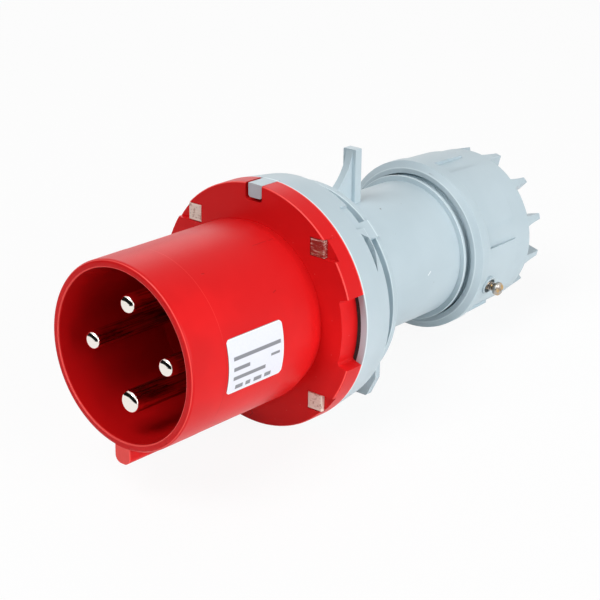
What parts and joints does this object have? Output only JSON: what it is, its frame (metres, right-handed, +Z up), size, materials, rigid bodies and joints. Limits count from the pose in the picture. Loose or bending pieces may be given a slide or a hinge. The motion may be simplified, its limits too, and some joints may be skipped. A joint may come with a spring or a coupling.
{
  "type": "industrial pin and sleeve plug",
  "caption": "Round industrial power plug with a pin shroud, bayonet flange, rear housing, gland nut with a toothed crown and a lock screw.",
  "frame": {"origin": "centre of the mating mouth of the shroud", "axes": "+Y along the plug from the mouth to the cable end, +Z up towards the latch nose, earth pin and key ridge at -Z"},
  "size_m": [0.1084, 0.2446, 0.111],
  "materials": {
    "red_plastic": "fine-grained moulded polyamide, satin",
    "grey_plastic": "moulded polyamide, satin",
    "black_plastic": "moulded, matte",
    "contact_metal": "nickel-plated, polished",
    "screw_steel": "zinc-plated",
    "insert_steel": "sawn face, dull",
    "seal_rubber": "moulded rubber, matte",
    "label_film": "printed film, satin"
  },
  "bodies": {
    "root": {"pin_housing": "red_plastic", "phase_pin_top": "contact_metal", "phase_pin_left": "contact_metal", "phase_pin_right": "contact_metal", "earth_pin": "contact_metal", "phase_terminal_screws_top": "screw_steel", "phase_terminal_screws_left": "screw_steel", "phase_terminal_screws_right": "screw_steel", "earth_terminal_screws": "screw_steel", "pin_retainer": "black_plastic", "retainer_screws": "screw_steel", "steel_insert_top_right": "insert_steel", "steel_insert_top_left": "insert_steel", "steel_insert_bottom_right": "insert_steel", "steel_insert_bottom_left": "insert_steel", "housing_gasket": "seal_rubber", "rear_housing": "grey_plastic", "cable_grommet": "seal_rubber", "rating_label": "label_film"},
    "pressure_ring": {"pressure_ring": "black_plastic"},
    "gland_nut": {"gland_nut": "grey_plastic"},
    "lock_screw": {"lock_screw": "screw_steel"}
  },
  "joints": [
    {"name": "gland_travel", "type": "slide", "parent": "root", "child": "pressure_ring", "axis": [0, 1, 0], "range_m": [0, 0.0121]},
    {"name": "gland_nut_turn", "type": "hinge", "parent": "pressure_ring", "child": "gland_nut", "pos_m": [0, 0.21, 0], "axis": [0, 1, 0], "range_deg": [0, 1440]},
    {"name": "lock_screw_travel", "type": "slide", "parent": "gland_nut", "child": "lock_screw", "axis": [0.9962, 0, -0.0872], "range_m": [-0.0024, 0.002]}
  ],
  "couplings": [
    {"joint": "gland_travel", "follows": "gland_nut_turn", "m_per_rad": 0.00047746}
  ]
}
